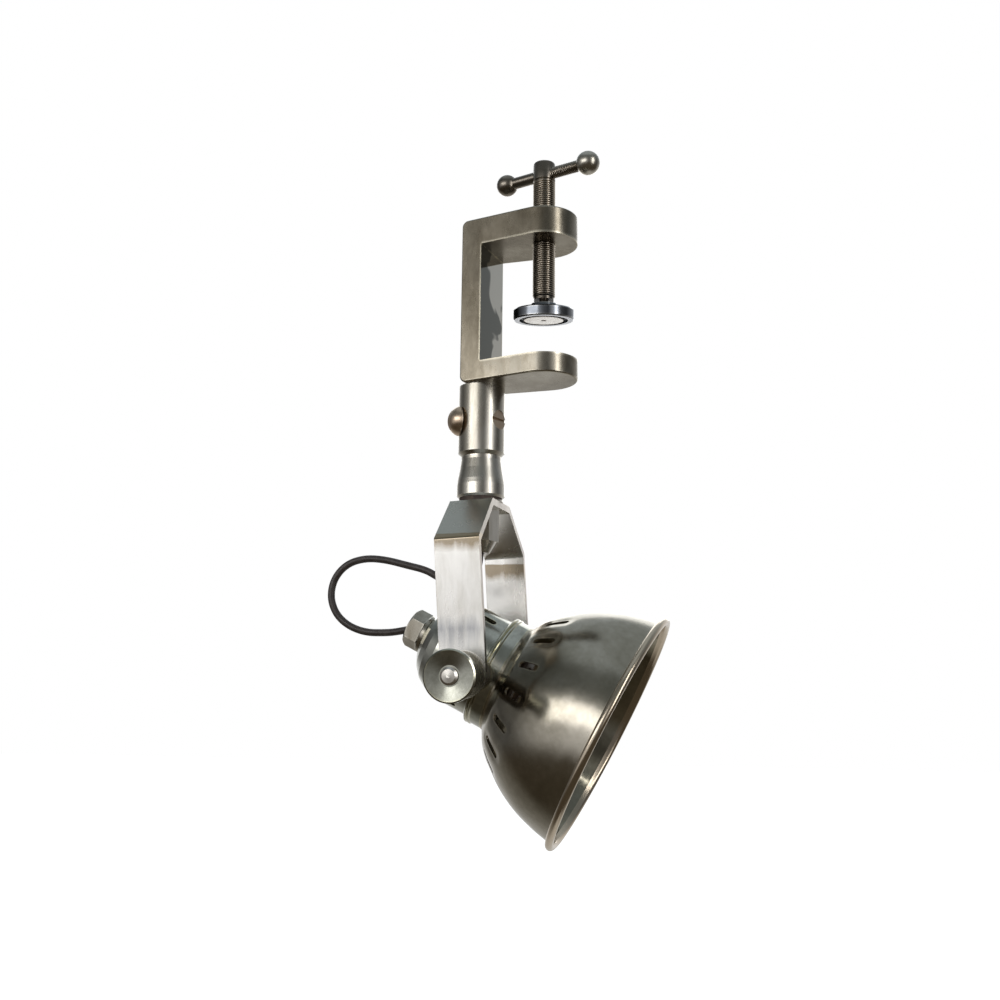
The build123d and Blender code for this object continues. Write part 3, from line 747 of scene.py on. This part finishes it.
def add_clamp_screw(materials):
    """Ball end, neck, threaded shank and plain head."""
    low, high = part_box("clamp_screw")
    ball_z = low.z + SCREW_BALL_R
    rows = []
    for k in range(1, 9):
        a = math.radians(-90 + 16.5 * k)
        rows.append(round_ring(SCREW_BALL_R * math.cos(a), ball_z + SCREW_BALL_R * math.sin(a), SCREW_COUNT))
    rows += turned_rings([(2.0, 27.0), (2.0, 29.3), (4.2, 29.4)], SCREW_COUNT)
    thread = thread_radius(SCREW_R, SCREW_THREAD_DEPTH, SCREW_PITCH)
    steps = int((SCREW_HIGH - SCREW_LOW) / SCREW_PITCH * RINGS_PER_PITCH)
    for k in range(steps + 1):
        z = SCREW_LOW + (SCREW_HIGH - SCREW_LOW) * k / steps
        shrink = 0.88 + 0.12 * min(1.0, (z - SCREW_LOW) / LEAD_IN + 0.15)
        rows.append(ring(lambda angle, z, shrink=shrink: thread(angle, z) * shrink, z, SCREW_COUNT))
    top = high.z / MM
    neck = [(4.4, 84.25), (4.4, 84.7), (5.0, 85.2)]
    crown = [(5.0, top - 1.2), (4.7, top - 0.6), (3.8, top - 0.2), (2.0, top)]
    rows += turned_rings(neck + crown, SCREW_COUNT)
    steel = materials["dark_steel"]
    piece = mesh_piece("clamp_screw_detail", rows, Matrix.Identity(4), steel, "clamp_screw")
    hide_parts("clamp_screw")


BAR_R = 2.6 * MM
BAR_PLAIN_END = 3.0 * MM
BAR_THREAD_START = 3.2 * MM
BAR_THREAD_DEPTH = 0.42 * MM
BAR_THREAD_PITCH = 0.9 * MM
BAR_RING_STEP = 0.11 * MM
BAR_COUNT = 24


def add_tommy_bar(materials):
    """Cross bar: plain on one side of the screw's head, threaded on the other."""
    low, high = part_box("tommy_bar")
    slant = math.sqrt(1 - BAR_DIR.x**2)
    half = ((high - low).x / 2 - BAR_R * slant) / abs(BAR_DIR.x)
    place = frame_matrix((low + high) / 2, UP.cross(BAR_DIR), UP, BAR_DIR)
    rows = [round_ring(BAR_R, z, BAR_COUNT) for z in (-half, BAR_PLAIN_END)]
    thread = thread_radius(BAR_R, BAR_THREAD_DEPTH, BAR_THREAD_PITCH)
    run = half - BAR_THREAD_START
    steps = int(run / BAR_RING_STEP)
    rows += [ring(thread, BAR_THREAD_START + run * k / steps, BAR_COUNT) for k in range(steps + 1)]
    piece = mesh_piece("tommy_bar_detail", rows, place, materials["dark_steel"], "tommy")
    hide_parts("tommy_bar")


# the shade's outline, radius and distance along the head's axis, in mm
SHADE_OUTLINE = [
    (24.3, 9.6),
    (26.2, 10.8),
    (30.6, 13.6),
    (34.4, 17.4),
    (37.7, 21.6),
    (40.9, 26.0),
    (43.8, 31.0),
    (46.2, 36.2),
    (48.1, 41.6),
    (49.8, 48.4),
    (50.8, 54.0),
    (51.1, 55.8),
]
SHADE_LIP = [(22.3, 10.7), (22.3, 8.8), (24.2, 8.8)]
SHADE_WALL = 1.0
RIM_R = 52.2
RIM_S = 57.2
RIM_BEAD_R = 1.75
RIM_BEAD_FROM = -132
RIM_BEAD_SWEEP = 315
RIM_BEAD_STEPS = 21
VENT_COUNT = 17
VENT_PHASE = -89.0
VENT_W = 2.9
VENT_L = 11.0
VENT_R = 35.6
VENT_S = 19.4
VENT_SLOPE = 49.3
VENT_END_STEPS = 8
VENT_CUT_DEPTH = 5
DIMPLE_DEPTH = 0.28
DIMPLE_REACH = 2.6
DIMPLE_ZONE = (8, 32)  # the stretch of the axis that has dimples, and the least radius there
DIMPLE_ZONE_R = 23


def smooth_outline(points, steps):
    """Catmull-Rom curve through the points."""
    out = []
    for i in range(len(points) - 1):
        a, b, c, d = (Vector(points[min(max(k, 0), len(points) - 1)]) for k in range(i - 1, i + 3))
        for k in range(steps):
            t = k / steps
            bend = (2 * a - 5 * b + 4 * c - d) * t * t
            twist = (3 * b - a - 3 * c + d) * t**3
            out.append(0.5 * (2 * b + (c - a) * t + bend + twist))
    return out + [Vector(points[-1])]


def vent_distance(angle, along):
    """Distance in mm on the shade from the nearest vent slot's outline.

    The angle is round the head's axis; along is the way down the shade's slope from the vents' middle.
    """
    spacing = 2 * math.pi / VENT_COUNT
    off = (angle - math.radians(VENT_PHASE) + spacing / 2) % spacing - spacing / 2
    across = abs(off) * VENT_R
    beyond = max(abs(along) - (VENT_L - VENT_W) / 2, 0.0)
    return math.hypot(across, beyond) - VENT_W / 2


def add_shade(materials):
    """Spun bowl with a rolled rim and a ring of punched slots, each in a shallow pressed dimple."""
    count = VENT_COUNT * 20
    outer = smooth_outline(SHADE_OUTLINE, 6)
    inner = []
    for i, p in enumerate(outer):
        run = outer[min(i + 1, len(outer) - 1)] - outer[max(i - 1, 0)]
        run.normalize()
        inner.append(Vector((p.x - SHADE_WALL * run.y, p.y + SHADE_WALL * run.x)))
    bead = []
    for k in range(RIM_BEAD_STEPS + 1):
        a = math.radians(RIM_BEAD_FROM + RIM_BEAD_SWEEP * k / RIM_BEAD_STEPS)
        bead.append(Vector((RIM_R + RIM_BEAD_R * math.cos(a), RIM_S + RIM_BEAD_R * math.sin(a))))
    lip = [Vector(p) for p in SHADE_LIP]
    outline = outer + bead + inner[:0:-1] + lip
    lean = math.radians(VENT_SLOPE)
    ahead = Vector((math.cos(lean), math.sin(lean)))
    vent_middle = Vector((VENT_R, VENT_S))
    rows = []
    for p in outline:
        along = (p - vent_middle).dot(ahead)
        dimpled = DIMPLE_ZONE[0] < p.y < DIMPLE_ZONE[1] and p.x > DIMPLE_ZONE_R
        row = []
        for k in range(count):
            a = 2 * math.pi * k / count
            drop = 0.0
            if dimpled:
                gap = vent_distance(a, along) / DIMPLE_REACH
                drop = DIMPLE_DEPTH * math.exp(-max(gap, 0.0) ** 2 * 1.6)
            r = p.x - drop * math.sin(lean)
            s = p.y + drop * math.cos(lean)
            row.append(Vector((r * math.cos(a), r * math.sin(a), s)) * MM)
        rows.append(row)
    rows.append(rows[0])
    shade = mesh_piece("shade_detail", rows, HEAD_FRAME, materials["shade_bronze"], None, closed_ends=False)
    cut_vents(shade)
    shade.data.materials.append(materials["bowl_inside_painted_shade"])
    # the inner faces take the darker finish, partly its own tone and partly painted shade inside the bowl
    for face in shade.data.polygons:
        face.use_smooth = True
        offset = face.center - HEAD_ORIGIN
        along = offset.dot(HEAD_DIR)
        radial = offset - HEAD_DIR * along
        inner_side = face.normal.dot(radial.normalized()) < -0.2 and along < (RIM_S - 1.4) * MM
        face.material_index = 1 if inner_side else 0
    shade.data.set_sharp_from_angle(angle=math.radians(35))
    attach(shade, "head")
    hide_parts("shade")


def cut_vents(shade):
    """Cuts the round-ended slots right through the shade's wall."""
    bm = bmesh.new()
    half = (VENT_L - VENT_W) / 2
    for k in range(VENT_COUNT):
        turn = Matrix.Rotation(math.radians(VENT_PHASE) + 2 * math.pi * k / VENT_COUNT, 4, "Z")
        lean = Matrix.Rotation(math.radians(-VENT_SLOPE), 4, "Y")
        place = HEAD_FRAME @ Matrix.Scale(MM, 4) @ turn @ Matrix.Translation((VENT_R, 0, VENT_S)) @ lean
        ends = []
        for depth in (-VENT_CUT_DEPTH, VENT_CUT_DEPTH):
            loop = []
            for end in (1, -1):
                for step in range(VENT_END_STEPS + 1):
                    a = math.radians(-90 + 180 * step / VENT_END_STEPS) + (0 if end > 0 else math.pi)
                    out, across = VENT_W / 2 * math.cos(a), VENT_W / 2 * math.sin(a)
                    loop.append(Vector((end * half + out, across, depth)))
            ends.append([bm.verts.new(place @ p) for p in loop])
        low, high = ends
        for i in range(len(low)):
            n = (i + 1) % len(low)
            bm.faces.new((low[i], low[n], high[n], high[i]))
        bm.faces.new(low[::-1])
        bm.faces.new(high)
    bmesh.ops.recalc_face_normals(bm, faces=bm.faces)
    mesh = bpy.data.meshes.new("vent_cutters")
    bm.to_mesh(mesh)
    bm.free()
    cutters = bpy.data.objects.new("vent_cutters", mesh)
    scene.collection.objects.link(cutters)
    cut = shade.modifiers.new("vents", "BOOLEAN")
    cut.operation = "DIFFERENCE"
    cut.solver = "EXACT"
    cut.object = cutters
    result = bpy.data.meshes.new_from_object(shade.evaluated_get(bpy.context.evaluated_depsgraph_get()))
    shade.modifiers.clear()
    shade.data = result
    bpy.data.objects.remove(cutters)


# ---------------------------------------------------------------- the whole scene
add_camera()
finishes = make_materials()
add_cord(finishes["cord"])
add_studio()
dress_cad_nodes(finishes)
add_clamp_screw(finishes)
add_tommy_bar(finishes)
add_shade(finishes)
